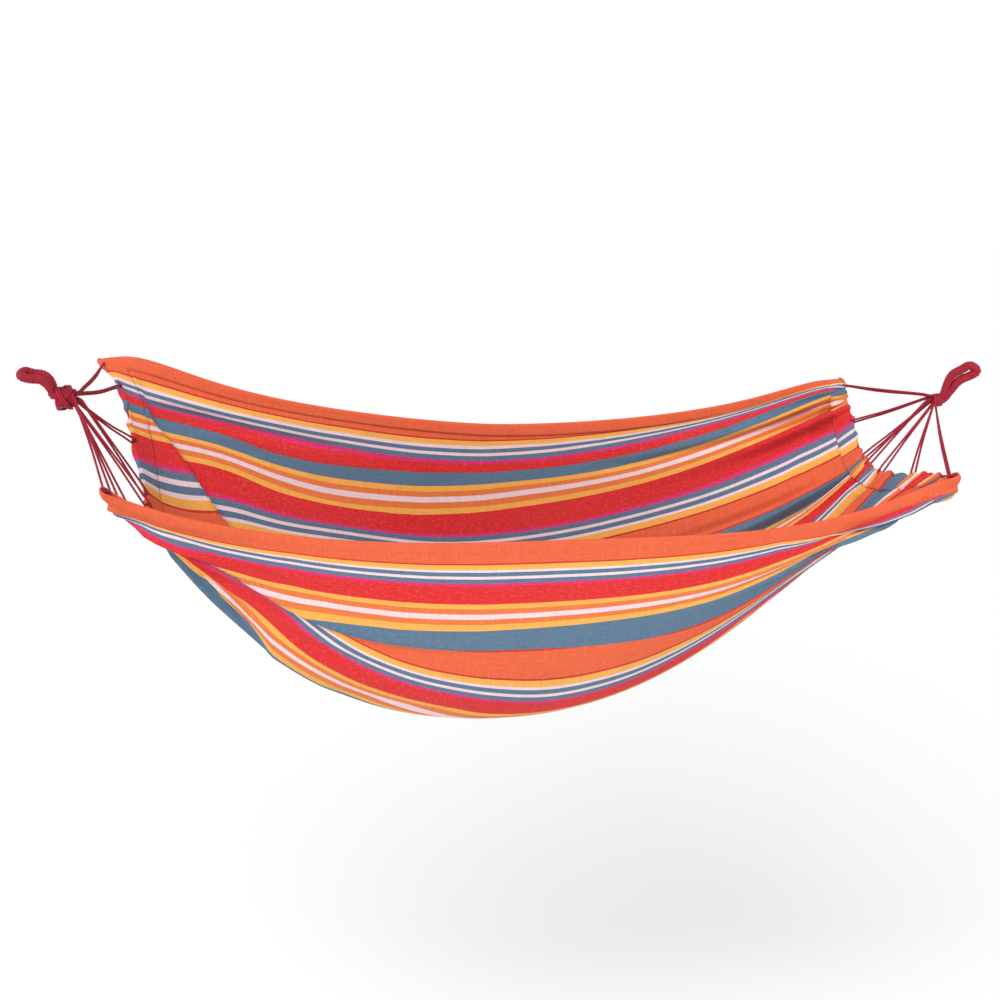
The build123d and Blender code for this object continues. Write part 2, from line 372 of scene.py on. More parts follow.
def cord_material(name, shaded, body, lit):
    """Laid or wound cord: fine fibres along it, with painted shade from a shaded copy of its colour
    along the fibres and painted light from a lit copy in paler patches.
    """
    n = surface_nodes(name, roughness=0.62, specular=0.3, sheen=0.1)
    n.shader.inputs["Sheen Tint"].default_value = srgb("FF9AA6")
    uv = n.add("UVMap", uv_map="lay").outputs["UV"]
    spot = n.add("TexCoord").outputs["Object"]
    fibres = n.noise(n.stretch(uv, (160.0, 22.0, 1.0)), 6.0, 3.0)
    patches = n.noise(spot, 38.0, 2.0)
    fuzz = n.noise(spot, 1900.0, 2.0)
    # painted shade: dark fibre streaks in the shaded copy of the crimson; painted light: paler
    # patches in the lit copy
    fibre_shade = n.mix(n.math("MULTIPLY", fibres, 0.8), srgb(shaded), srgb(body))
    lit_patches = n.ramp(patches, [(0.3, srgb(body)), (0.75, srgb(lit))])
    colour = n.mix(0.42, fibre_shade, lit_patches)
    bumps = n.bump(fuzz, 0.00025, 0.6, n.bump(fibres, 0.0004, 0.7))
    return n.finish(colour, bumps, Roughness=n.math("MULTIPLY_ADD", fibres, 0.25, 0.48))


BLACK, WHITE = (0, 0, 0, 1), (1, 1, 1, 1)
CREAM, YELLOW, BLUE = srgb("F0D6DA"), srgb("F7B04E"), srgb("55768F")
ORANGE, AMBER, RED, PINK = srgb("E9623A"), srgb("E97A3C"), srgb("DE2429"), srgb("DB2C70")
DEEP_RED = srgb("CC2A22")
# The stripes from the front edge to the back one: widths on a scale of about 2.8 mm. The first
# list comes four times over, the last time without its last two stripes; LAST ends the cloth.
REPEAT = [
    (23, ORANGE), (2, DEEP_RED), (5.7, YELLOW), (3, CREAM), (4.5, BLUE), (3, CREAM), (4.5, BLUE),
    (3, PINK), (18.8, RED), (4.5, YELLOW), (4.7, AMBER), (4.5, CREAM), (4.7, AMBER),
    (4.7, YELLOW), (22.2, BLUE), (2.4, DEEP_RED),
]
LAST = [
    (11.5, BLUE), (1.2, DEEP_RED), (7.4, RED), (3, PINK), (4.5, BLUE), (3, CREAM), (4, BLUE),
    (3, CREAM), (5.5, YELLOW), (1.8, DEEP_RED), (18, ORANGE),
]
REPEATS = 4
REPEAT_W = sum(width for width, _ in REPEAT)
LAST_W = sum(width for width, _ in LAST)
REPEATS_W = REPEATS * REPEAT_W - REPEAT[-1][0] - REPEAT[-2][0]
CLOTH_UNITS = REPEATS_W + LAST_W
WARP_PITCH, WEFT_PITCH = 0.0016, 0.0019  # of the weave's ribs
STRIPE_SWAY = 0.0016  # how much the stripes' edges wander, as a share of the stripe scale


def stripe_stops(stripes):
    """Ramp stops for a list of stripes, each from where the one before it ends."""
    total = sum(width for width, _ in stripes)
    stops, at = [], 0.0
    for width, colour in stripes:
        stops.append((at / total, colour))
        at += width
    return stops


def canvas_material():
    """Striped woven canvas: dyed warp in stripes, a weft that dots them, slubs and soft fading."""
    n = surface_nodes("striped_canvas", roughness=0.88, specular=0.1, sheen=0.05)
    uv = n.add("UVMap", uv_map="lay").outputs["UV"]
    wander = n.noise(n.stretch(uv, (9.0, 3.0, 1.0)), 1.0, 1.0)
    length, width = n.pair("lay")
    over, under = n.pair("front_drift")
    back, _ = n.pair("back_drift")
    past_front, past_back = n.pair("tuck_lines")
    sway = n.math("MULTIPLY", n.math("SUBTRACT", wander, 0.5), STRIPE_SWAY)
    below = n.math("MULTIPLY", n.math("SUBTRACT", under, over), n.math("GREATER_THAN", past_front, 0))
    beyond = n.math("MULTIPLY", back, n.math("GREATER_THAN", past_back, 0))
    drift = n.math("ADD", n.math("ADD", over, below), beyond)
    units = n.math("MULTIPLY", n.math("ADD", n.math("ADD", width, sway), drift), CLOTH_UNITS)
    turn = n.math("FRACT", n.math("DIVIDE", units, REPEAT_W))
    repeat = n.ramp(turn, stripe_stops(REPEAT), "CONSTANT")
    end = n.math("DIVIDE", n.math("SUBTRACT", units, REPEATS_W), LAST_W, clamp=True)
    last = n.ramp(end, stripe_stops(LAST), "CONSTANT")
    stripes = n.mix(n.math("GREATER_THAN", units, REPEATS_W), repeat, last)
    # warp yarns run lengthwise, weft yarns crosswise, and slubs are thick places in them
    warp = n.noise(n.stretch(uv, (14.0, 900.0, 1.0)), 1.0, 2.0)
    weft = n.noise(n.stretch(uv, (620.0, 20.0, 1.0)), 1.0, 2.0)
    slubs = n.noise(n.stretch(uv, (90.0, 240.0, 1.0)), 1.0, 3.0)
    fade = n.noise(n.stretch(uv, (3.0, 4.0, 1.0)), 1.0, 3.0)
    dark = n.mix(1.0, stripes, srgb("B4B0BC"), "MULTIPLY")
    both = n.math("MULTIPLY_ADD", warp, 0.5, n.math("MULTIPLY", weft, 0.5))
    speckle = n.ramp(both, [(0.36, BLACK), (0.62, WHITE)])
    tone = n.math("MULTIPLY", n.math("SUBTRACT", 1.0, speckle), 0.4)
    woven = n.mix(tone, stripes, dark)
    thick = n.ramp(slubs, [(0.5, BLACK), (0.72, WHITE)])
    woven = n.mix(n.math("MULTIPLY", thick, 0.05), woven, srgb("FFE9DC"))
    faded = n.mix(n.math("MULTIPLY", fade, 0.04), woven, srgb("F5C9B8"))
    yarns_along = n.math("SINE", n.math("MULTIPLY", width, 2 * math.pi * CLOTH_WIDTH / WARP_PITCH))
    yarns_across = n.math("SINE", n.math("MULTIPLY", length, 2 * math.pi / WEFT_PITCH))
    weave = n.math("MULTIPLY", yarns_along, yarns_across)
    bumps = n.bump(weave, 0.00035, 0.5, n.bump(slubs, 0.0006, 0.5))
    return n.finish(faded, bumps, Roughness=n.math("MULTIPLY_ADD", weft, 0.2, 0.74))


def thread_material():
    """Twisted sewing thread, a little glossier than the cloth it sits in."""
    n = surface_nodes("sewing_thread", roughness=0.5, specular=0.4, sheen=0.1)
    spot = n.add("TexCoord").outputs["Object"]
    twist = n.noise(spot, 1500.0, 2.0)
    colour = n.ramp(twist, [(0.3, srgb("B8401E")), (0.7, srgb("F08A58"))])
    return n.finish(colour, n.bump(twist, 0.0002, 0.6))


MATERIALS = {
    "clew_cord": cord_material("crimson_cord", "52060F", "A2112C", "C62041"),
    "hem_cord": cord_material("hem_cord", "440512", "8E102E", "B41A42"),
    "serving_cord": cord_material("serving_cord", "540611", "A6122D", "CA2143"),
    "sewing_thread": thread_material(),
    "striped_canvas": canvas_material(),
}


# ---- hem cords
HEM_STEP, CLEW_STEP, EYE_STEP, SERVED_STEP = 0.0016, 0.0015, 0.0012, 0.0006  # between points
KNOT_TURNS, KNOT_R, KNOT_LENGTH = 3, 0.0034, 0.008
HEM_ROUTES = {name: [place(*point) for point in hem] for name, hem in HEMS.items()}
hem_lines = {}


def hem_knot(name, spot, way):
    """A stopper knot: the cord wound in a short ball round its own end."""
    share = np.linspace(0, 1, 20 * KNOT_TURNS + 1)
    angle = share * KNOT_TURNS * 2 * math.pi
    side = unit(np.cross(way, (0.0, 0.0, 1.0)))
    up = np.cross(side, way)
    width = KNOT_R * np.sin(math.pi * np.clip(share * 0.8 + 0.1, 0, 1)) + 0.0004
    line = spot + way * ((share - 0.5) * KNOT_LENGTH)[:, None]
    line = line + side * (np.cos(angle) * width)[:, None] + up * (np.sin(angle) * width)[:, None]
    return skin(name, line, laid_radius(HEM_CORD_D * 0.95), 12, "bed", "hem_cord")


for name, route in HEM_ROUTES.items():
    line = evenly(spline_line(route), HEM_STEP)
    hem_lines[name] = line
    cord = skin(f"{name}_hem_rope", line, laid_radius(HEM_CORD_D), 15, "bed", "hem_cord")
    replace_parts(cord, f"{name}_hem_cord")
    knots = [
        hem_knot(f"{name}_hem_knot_front", line[0], unit(line[1] - line[0])),
        hem_knot(f"{name}_hem_knot_back", line[-1], unit(line[-1] - line[-2])),
    ]


def at_share(line, share):
    """Points of a line at shares of its length."""
    run = distances(line)
    return sample(line, run, np.atleast_1d(share) * run[-1])


CLOTH_FROM_END = 0.004  # from a hem cord's end to the cloth's corner, which hides the knot


def row_shares(name, from_end):
    """Where the cloth's seven rows meet the hem cord, as shares of the cord's length."""
    route = HEM_ROUTES[name]
    runs = [(b - a).length for a, b in zip(route, route[1:])]
    mouth = from_end / distances(hem_lines[name])[-1]
    return [mouth] + [sum(runs[:k]) / sum(runs) for k in range(1, len(runs))] + [1 - mouth]


ROW_SHARES = {name: row_shares(name, MOUTH) for name in SIDES}
FULL_SHARES = {name: row_shares(name, CLOTH_FROM_END) for name in SIDES}

# ---- clews: seven doubled cords at each end, each round the hem cord
HOOK_RUN = 6 * CORD_D  # straight before a clew goes round the hem cord
SOONER = 0.008  # the clews turn down to their holes this much nearer the neck than in CAD
TUCK = 0.36  # the clews crowd together by this share where the neck is bound
# How far each clew sags or is pushed aside at its middle: none hangs quite like another.
SAG = {
    "left": [0.003, 0.004, 0.002, 0.003, 0.009, 0.006, 0.003],
    "right": [0.002, 0.003, 0.003, 0.004, 0.004, 0.005, 0.003],
}


def wrap_spot(name, number):
    """Where a clew goes round the hem cord: the place and the cord's direction there."""
    line = hem_lines[name]
    beside_knot = CORNER_WRAP / distances(line)[-1]
    share = ([beside_knot] + CLEW_SHARES[name] + [1 - beside_knot])[number]
    spots = at_share(line, [share, share + 0.002])
    return Vector(spots[0]), Vector(spots[1] - spots[0]).normalized()


def clew_route(name, number):
    """The clew's route from inside the neck, round the hem cord and back to the neck."""
    sign = SIDES[name]["sign"]
    cell = Vector((0, 0, 0))
    if CELL_ANGLE[number] is not None:
        angle = math.radians(CELL_ANGLE[number])
        cell = Vector((0, math.cos(angle), math.sin(angle))) * CELL_R
    face = place(sign * (NECK_X - NECK_GAP), 0, 0) + cell
    turn = face - Vector((sign * LEVEL_RUN[number], 0, 0))
    spot, hem_way = wrap_spot(name, number)
    way = (turn - spot).normalized()
    beside = hem_way.cross(way).normalized()
    skew = 1 / hem_way.cross(way).length - 1
    radius = HEM_CORD_D / 2 + CORD_D / 2 + WRAP_FIT
    end = spot - way * radius * (1 + skew)
    flat = Vector((0, beside.y, beside.z)).normalized() * (CORD_D + STRAND_GAP) / 2
    tucked = face - cell * TUCK
    pulled = turn - cell * TUCK * 0.4 + Vector((sign * SOONER, 0, 0))
    down = Vector((0, 0, -SAG[name][number]))
    run = (turn - end).length
    apart = way.cross(Vector((0, 1, 0))).normalized() * CORD_D * 0.49
    if apart.dot(flat) < 0:
        apart.negate()

    def leg(hand):
        near = turn + flat * hand - way * LEVEL_RUN[number] + Vector((sign * SOONER * 0.9, 0, 0))
        far = end + beside * radius * hand + way * HOOK_RUN
        middle = turn - way * run * 0.5 + apart * hand + down
        return [tucked + flat * hand * 0.8, pulled + flat * hand, near, middle, far,
                end + beside * radius * hand]

    return leg(1) + leg(-1)[::-1]


for name in SIDES:
    for number in range(len(CELL_ANGLE)):
        line = evenly(spline_line(clew_route(name, number)), CLEW_STEP)
        laid = laid_radius(CORD_D)
        clew = skin(f"{name}_clew_rope_{number + 1}", line, laid, 12, "bed", "clew_cord")
        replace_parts(clew, f"{name}_clew_{number + 1}")


# ---- eyes and necks
EYE_ARCH = 0.024  # the eye's middle stands over the straight way from neck to tip
EYE_LEAN = {"left": 20, "right": 0}  # degrees that the eye has rolled over
SLIM_R = 0.0092  # the serving's radius beside the neck
SLIM_SHARE = 0.27  # the share of the serving's length over which it gets there
SERVING_PITCH = 0.0054
BOUND = {
    "left": dict(start=-0.01, length=0.05, radius=0.0205, knot=0.0255),
    "right": dict(start=-0.006, length=0.027, radius=0.0142, knot=None),
}
WINDING_D = 0.0056  # the cord wound round the neck
SERVED = ("hanging_loops", "serving_cord")
CROSS_REACH = 0.0135  # how far the crossing turns run to each side of the neck's middle


def eye_route(name):
    """The route of the eye from the neck out to its tip and back."""
    side = SIDES[name]
    along, across = eye_frame(side)
    lean = math.radians(EYE_LEAN[name])
    turn = math.radians(side["eye_turn"] + EYE_LEAN[name])
    level = Vector((0, math.cos(turn), math.sin(turn)))
    across = across * math.cos(lean) + along.cross(across) * math.sin(lean * side["sign"])
    arch = Vector((-along.z, 0, along.x)) * EYE_ARCH * side["sign"]
    face = place(side["sign"] * (NECK_X + NECK_GAP), 0, 0)
    neck = place(side["sign"] * (NECK_X + BOUND[name]["start"] + BOUND[name]["length"]), 0, 0)
    bend = place(side["sign"] * (NECK_X + side["neck_len"] + side["bend_out"]), 0, 0)
    half = (EYE_GAP + SERVING_D) / 2
    reach = side["eye_reach"] - SERVING_D / 2

    def leg(hand):
        return [face + level * 0.005 * hand,
                neck + level * 0.006 * hand,
                bend + along * reach * 0.18 + arch * 0.9 + across * 0.0085 * hand,
                bend + along * reach * 0.52 + arch * 1.1 + across * 0.0125 * hand,
                bend + along * (reach - 0.02) + arch * 0.35 + across * half * hand,
                bend + along * reach + across * half * hand]

    return leg(1) + leg(-1)[::-1]


def served_radius(total):
    """The outline of the serving: wound cord, slimmer towards the neck at both its ends."""
    wound = wound_radius(SERVING_D, SERVING_PITCH)

    def radius_of(run, angle):
        share = ease(np.minimum(run, total - run) / (total * SLIM_SHARE))
        return wound(run, angle) * (SLIM_R + (SERVING_D / 2 - SLIM_R) * share) / (SERVING_D / 2)
    return radius_of


def round_neck(x, radius, angle):
    """A line that goes round the hammock's own long axis, at places along it."""
    return np.stack([x, radius * np.cos(angle), radius * np.sin(angle)], axis=1) - np.array(ORIGIN)


def neck_winding(name):
    """Cord wound round the neck, turn beside turn."""
    bound, side = BOUND[name], SIDES[name]
    turns = bound["length"] / (WINDING_D * 0.94)
    share = np.linspace(0, 1, int(turns * 36) + 1)
    angle = share * turns * 2 * math.pi
    radius = bound["radius"] * (1 - 0.1 * (2 * share - 1) ** 2)
    reach = bound["start"] + WINDING_D / 2 + share * (bound["length"] - WINDING_D)
    x = side["sign"] * (NECK_X + reach)
    return round_neck(x, radius, angle)


def crossing_turns(name, shift):
    """Cord that goes twice round the neck from edge to edge and crosses itself on the way."""
    bound, side = BOUND[name], SIDES[name]
    angle = np.linspace(0, 4 * math.pi, 240)
    middle = NECK_X + bound["start"] + bound["length"] / 2
    x = side["sign"] * (middle + shift + CROSS_REACH * np.cos(1.5 * angle))
    radius = bound["knot"] + WINDING_D * 0.46 * np.sin(1.5 * angle)
    return round_neck(x, radius, angle)


for name in SIDES:
    line = evenly(spline_line(eye_route(name)), EYE_STEP)
    laid = laid_radius(EYE_CORE_D, strands=6, pitch=7)
    core = skin(f"{name}_eye_cords", line, laid, 30, "hanging_loops", "clew_cord")
    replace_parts(core, f"{name}_eye_core")
    run = distances(line)
    bare = BOUND[name]["start"] + BOUND[name]["length"] - 0.006
    served = evenly(line[(run > bare) & (run < run[-1] - bare)], SERVED_STEP)
    wound = served_radius(distances(served)[-1])
    serving = skin(f"{name}_eye_wraps", served, wound, 36, *SERVED)
    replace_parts(serving, f"{name}_eye_serving")
    laid = laid_radius(WINDING_D)
    winding = skin(f"{name}_neck_wraps", neck_winding(name), laid, 12, *SERVED)
    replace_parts(winding, f"{name}_neck_binding")
    if BOUND[name]["knot"]:
        for number, shift in enumerate((-0.0029, 0.0029)):
            turns = crossing_turns(name, shift)
            skin(f"{name}_neck_knot_{number + 1}", turns, laid, 12, *SERVED)

# ---- the cloth
# How the cloth is laid out across its width, as shares of it. At mid-length its seven rows lie
# as MIDDLE says. At the hems the cloth is gathered on the cord more tightly here than there:
# each pair is a share of the width and the row that it reaches there.
MIDDLE = [0, 0.167, 0.339, 0.473, 0.634, 0.817, 1]
GATHERED = {
    "left": [
        (0, 0), (0.045, 0.5), (0.214, 1.05), (0.488, 2.05), (0.74, 3), (0.829, 4), (0.947, 5),
        (1, 6),
    ],
    "right": [
        (0, 0), (0.045, 0.36), (0.3, 0.64), (0.368, 1.1), (0.416, 1.59), (0.463, 2.32),
        (0.517, 2.87), (0.572, 3.42), (0.615, 3.72), (0.712, 3.9), (0.76, 4.33), (0.817, 5), (1, 6),
    ],
}
# The stripes aren't spread quite evenly either: their share of the stripe scale at each row.
STRIPES_AT_ROWS = [0, 0.203, 0.338, 0.466, 0.618, 0.792, 1]


def natural_spline(knots, values):
    """A natural cubic spline through values at knots, as a function."""
    knots, values = np.asarray(knots, float), np.asarray(values, float)
    h, size = np.diff(knots), len(knots)
    system = np.eye(size)
    right = np.zeros((size,) + values.shape[1:])
    column = (-1,) + (1,) * (values.ndim - 1)
    slope = np.diff(values, axis=0) / h.reshape(column)
    for k in range(1, size - 1):
        system[k, k - 1:k + 2] = h[k - 1], 2 * (h[k - 1] + h[k]), h[k]
        right[k] = 6 * (slope[k] - slope[k - 1])
    bend = np.linalg.solve(system, right.reshape(size, -1)).reshape(values.shape)

    def value_at(x):
        k = np.clip(np.searchsorted(knots, x) - 1, 0, size - 2)
        a, b = (knots[k + 1] - x).reshape(column), (x - knots[k]).reshape(column)
        d = h[k].reshape(column)
        cubic = bend[k] * a ** 3 / (6 * d) + bend[k + 1] * b ** 3 / (6 * d)
        first, second = values[k] / d - bend[k] * d / 6, values[k + 1] / d - bend[k + 1] * d / 6
        return cubic + first * a + second * b

    return value_at


def steady_curve(knots, values):
    """A smooth curve through values at knots that never turns back, as a function."""
    knots, values = np.asarray(knots, float), np.asarray(values, float)
    h, slope = np.diff(knots), np.diff(values) / np.diff(knots)
    tilt = np.zeros(len(knots))
    weight = h[1:] + h[:-1]
    tilt[1:-1] = 3 * weight / ((weight + h[1:]) / slope[:-1] + (weight + h[:-1]) / slope[1:])
    tilt[0], tilt[-1] = slope[0], slope[-1]

    def value_at(x):
        k = np.clip(np.searchsorted(knots, x, side="right") - 1, 0, len(h) - 1)
        t = (x - knots[k]) / h[k]
        rise = values[k] * (1 - t) ** 2 * (1 + 2 * t) + values[k + 1] * t ** 2 * (3 - 2 * t)
        return rise + h[k] * (tilt[k] * t * (1 - t) ** 2 - tilt[k + 1] * t ** 2 * (1 - t))

    return value_at


CORNER_REACH = 0.02  # share of the cloth's length over which its corners are drawn out
GATHER_POWER = 3.5  # how soon the hems' lay-out gives way to the one at mid-length
# How far the front stripe hangs down at the left and the right corner, and is pushed lengthwise.
CORNER_FALLS = ((0.016, -0.01), (0.05, 0.032))


def hang_surface(along, across):
    """The cloth's hanging shape without folds: a grid of points, lengthwise by crosswise."""
    ends = {name: at_share(hem_lines[name], ROW_SHARES[name]) for name in SIDES}
    further = {name: at_share(hem_lines[name], FULL_SHARES[name]) - ends[name] for name in SIDES}
    middle = steady_curve(MIDDLE, range(7))(across)
    gathered = {name: steady_curve(*zip(*pairs))(across) for name, pairs in GATHERED.items()}
    sections = []
    for u in along:
        depth = 1 - np.abs(2 * u - 1) ** np.array(ROW_POWER["left" if u < 0.5 else "right"])
        hang = np.stack([0 * depth, np.array(ROW_SHIFT) * depth, -np.array(ROW_DROP) * depth], axis=1)
        for rise, away in zip(CORNER_RISE, (u, 1 - u)):
            hang[-1, 2] += rise * (away / CORNER_AT) * math.exp(1 - away / CORNER_AT)
        rows = ends["left"] + (ends["right"] - ends["left"]) * u + hang
        rows += further["left"] * math.exp(-u / CORNER_REACH)
        rows += further["right"] * math.exp(-(1 - u) / CORNER_REACH)
        hem = abs(2 * u - 1) ** GATHER_POWER
        row = middle * (1 - hem) + gathered["left" if u < 0.5 else "right"] * hem
        sections.append(natural_spline(range(7), rows)(row))
    surface = np.array(sections)
    for index, name in ((0, "left"), (-1, "right")):
        share = natural_spline(range(7), np.array(FULL_SHARES[name])[:, None])(gathered[name])[:, 0]
        surface[index] = at_share(hem_lines[name], np.clip(share, 0, 1))
    return surface + front_corners(along, across)


def front_corners(along, across):
    """How the broad front stripe hangs down over each front corner: a shift of each grid point."""
    over = np.interp(across, [0, 0.012, 0.035, 0.048, 0.08, 0.15], [0, 0.35, 0.85, 1, 0.6, 0])
    fall = np.zeros((len(along), len(across), 3))
    for (depth, push), away in zip(CORNER_FALLS, (along[:, None], 1 - along[:, None])):
        lengthwise = np.interp(away, [0, 0.004, 0.035, 0.07, 0.13, 0.2], [0.8, 0.9, 1, 0.8, 0.35, 0])
        fall[..., 0] += push * np.exp(-away / CORNER_REACH) * over
        fall[..., 2] -= depth * lengthwise * over
        fall[..., 1] -= depth * 0.22 * lengthwise * over
    return fall


def surface_normals(surface):
    """Unit normals of a grid of points, on the side that the trough holds."""
    along = np.gradient(surface, axis=0)
    across = np.gradient(surface, axis=1)
    return unit(np.cross(along, across))


def smooth(values, passes, axis):
    """Values averaged with their neighbours along an axis, several times over."""
    for _ in range(passes):
        padded = np.concatenate([values.take([0], axis), values, values.take([-1], axis)], axis)
        size = values.shape[axis]
        ahead = padded.take(range(2, size + 2), axis)
        behind = padded.take(range(0, size), axis)
        values = 0.5 * values + 0.25 * (ahead + behind)
    return values


# The gathers: how many folds lie across the width, and how far from the hem they start and end.
FOLD_SETS = ((29, 0.0, 0.12), (15, 0.06, 0.34), (8, 0.16, 0.75))
CALM_EDGE = 0.07  # share of the width over which the folds fade towards the side hems


def gathers(surface, along, across):
    """How far the folds of the gathered ends lift the cloth off its hanging shape."""
    step = np.linalg.norm(np.diff(surface, axis=1), axis=2)
    step = np.concatenate([step, step[:, -1:]], axis=1)
    flat = np.gradient(across) * CLOTH_WIDTH
    spare = smooth(np.clip(flat[None, :] / step - 1, 0, 1.2), 12, 1)
    lift = np.zeros(surface.shape[:2])
    u, v = along[:, None], across[None, :]
    rim = np.clip(np.minimum(v, 1 - v) / CALM_EDGE, 0, 1)
    for start in (0.0, 1.0):
        away = np.abs(u - start) * CLOTH_LENGTH
        for count, near, far in FOLD_SETS:
            drift = draw.uniform(-1, 1, 6)
            wander = sum(drift[k] * np.sin((k + 1) * math.pi * v * 1.7 + k) for k in range(6))
            lean = draw.uniform(-0.6, 0.6) * away * 3
            phase = 2 * math.pi * count * v + 2.6 * wander + lean
            rise = np.clip(away / max(near, 0.01), 0, 1) if near else 1.0
            fall = np.clip(1 - (away - near) / (far - near), 0, 1)
            length = step / flat[None, :] * CLOTH_WIDTH / count
            tallest = 0.012 if count > 10 else 0.009
            height = np.minimum(length / math.pi * np.sqrt(spare) * 0.8, tallest)
            uneven = 1 + 0.6 * np.sin(2 * math.pi * 3.3 * v + drift[0] * 9)
            crest = np.sin(phase) + 0.3 * np.sin(2 * phase + 1)
            lift += height * rise * fall ** 1.2 * uneven * crest * rim
    return lift


# Creases: from one place on the cloth to another (shares of its length and width), how high the
# fold stands, towards the inside of the trough where positive, and how broad it is, in metres.
CREASES = [
    ((0.015, 0.16), (0.12, 0.42), 0.012, 0.02),
    ((0.06, 0.06), (0.26, 0.15), 0.005, 0.018),
    ((0.005, 0.377), (0.155, 0.377), 0.042, 0.15),
    ((0.98, 0.15), (0.87, 0.18), -0.03, 0.06),
    ((0.985, 0.1), (0.85, 0.3), -0.01, 0.022),
    ((0.985, 0.97), (0.9, 0.72), 0.009, 0.026),
    ((0.98, 0.5), (0.83, 0.44), 0.01, 0.018),
    ((0.3, 0.35), (0.56, 0.4), -0.004, 0.03),
]


def creases(along, across):
    """How far the long creases lift the cloth off its hanging shape."""
    size = np.array((CLOTH_LENGTH, CLOTH_WIDTH))
    spot = np.stack(np.broadcast_arrays(along[:, None], across[None, :]), -1) * size
    lift = np.zeros(spot.shape[:2])
    for start, finish, height, width in CREASES:
        start = np.array(start) * size
        way = np.array(finish) * size - start
        share = np.clip((spot - start) @ way / (way @ way), 0, 1)
        away = np.linalg.norm(spot - start - share[..., None] * way, axis=-1) / width
        crest = 1.25 * np.exp(1 - np.sqrt(1 + away ** 2 * 4)) - 0.25 * np.exp(-(away / 3) ** 2)
        lift += height * crest * np.sin(math.pi * (0.12 + 0.88 * share)) ** 0.8
    return lift


# Folds take up cloth, so the stripes drift from where a smooth bed would show them. Drifts and
# places across are shares of the stripe scale, places along are shares of the length. At the front
# tuck, FRONT_LINE, the drift has grown to FRONT_ABOVE. It jumps to FRONT_BELOW there, is
# FRONT_LOWER at LOWER_AT and ends at DRIFT_END. Past the slanting back tuck, BACK_LINE, it is
# BACK_DRIFT: a row for each place in BACK_ALONG, a column for each in BACK_STRIPES.
FRONT_RIM, LOWER_AT, DRIFT_END = 0.06, 0.335, 0.46
DRIFT_PASSES = 40  # of smoothing, lengthwise
FRONT_ALONG = [0, 0.11, 0.173, 0.235, 0.36, 0.486, 0.62, 0.75, 0.9, 1]
FRONT_LINE = [0.12, 0.165, 0.231, 0.235, 0.229, 0.226, 0.235, 0.262, 0.262, 0.262]
FRONT_ABOVE = [-0.02, -0.03, -0.06, -0.038, -0.022, -0.013, -0.01, -0.03, -0.025, -0.01]
FRONT_BELOW = [0.16, 0.147, 0.098, 0.046, 0, 0, 0, 0, 0, 0]
FRONT_LOWER = [0.09, 0.08, 0.06, 0.064, 0.047, 0, 0, 0, 0, 0]
BACK_LINE = (
    [0.46, 0.69, 0.735, 0.775, 0.835, 0.865, 1], [0.3, 0.14, 0.11, 0.085, 0.054, 0.037, 0.03])
BACK_ALONG = [0, 0.13, 0.2, 0.27, 0.41, 0.55, 0.69, 0.83, 0.96]
BACK_STRIPES = [DRIFT_END, 0.73, 0.78, 0.86, 0.91, 0.95, 1]
BACK_DRIFT = [
    [0, 0.02, 0.022, 0.018, 0.004, 0, 0],
    [0, 0.02, 0.024, 0.02, 0.005, 0, 0],
    [0, 0.045, 0.052, 0.042, 0.008, 0, 0],
    [0, 0.045, 0.06, 0.04, 0.012, 0.003, 0],
    [0, 0.04, 0.043, 0.026, 0.012, 0.005, 0],
    [0, 0.012, 0.017, 0, 0, -0.005, 0],
    [0, 0, 0, -0.013, -0.016, -0.018, 0],
    [0, 0, 0, -0.03, -0.038, -0.04, 0],
    [0, 0, -0.003, -0.035, -0.05, -0.06, 0],
]
# How high the tucks' lips stand: the front one's along the cloth, the back one's across it.
FRONT_HEIGHT = ([0, 0.03, 0.11, 0.235, 0.36, 0.5], [0, 0.006, 0.014, 0.012, 0.007, 0])
BACK_HEIGHT = ([0.46, 0.6, 0.69, 0.8, 0.95, 1], [0, 0.007, 0.018, 0.015, 0.007, 0])


def stripe_drift(along, stripes):
    """UV layers that say how far the stripes have moved, for a grid of places on the cloth."""
    line, above, below, lower = (
        np.interp(along, FRONT_ALONG, row)[:, None]
        for row in (FRONT_LINE, FRONT_ABOVE, FRONT_BELOW, FRONT_LOWER))
    u, s = np.broadcast_arrays(along[:, None], stripes[None, :])
    over = above * np.clip((s - FRONT_RIM) / (line - FRONT_RIM), 0, 1) ** 1.5
    under = below + (lower - below) * np.clip((s - line) / (LOWER_AT - line), 0, 1)
    under = under * (1 - np.clip((s - LOWER_AT) / (DRIFT_END - LOWER_AT), 0, 1))
    table = np.array([np.interp(stripes, BACK_STRIPES, row) for row in BACK_DRIFT])
    back = np.stack([np.interp(along, BACK_ALONG, column) for column in table.T], axis=1)
    over, under, back, line = (smooth(field, DRIFT_PASSES, 0) for field in (over, under, back, line))
    return {
        "front_drift": np.stack([over, under], axis=-1),
        "back_drift": np.stack([back, 0 * back], axis=-1),
        "tuck_lines": np.stack([s - line, u - np.interp(s, *BACK_LINE)], axis=-1),
    }


def tucks(along, stripes):
    """How far the lips of the two sharp tucks lift the cloth off its hanging shape."""
    u, s = along[:, None], stripes[None, :]
    line = smooth(np.interp(along, FRONT_ALONG, FRONT_LINE)[:, None], DRIFT_PASSES, 0)
    past = (s - line) * CLOTH_WIDTH
    under = ease(past / 0.016 + 0.4)
    lip = (0.25 * under - (1 - under)) * np.exp(-np.abs(past) / (0.03 - 0.014 * under))
    past_back = (u - np.interp(s, *BACK_LINE)) * CLOTH_LENGTH
    beyond = ease(past_back / 0.018 + 0.4)
    band = (1 - 1.3 * beyond) * np.exp(-np.abs(past_back) / (0.07 - 0.045 * beyond))
    return np.interp(u, *FRONT_HEIGHT) * lip + np.interp(s, *BACK_HEIGHT) * band * ease(u / 0.02)


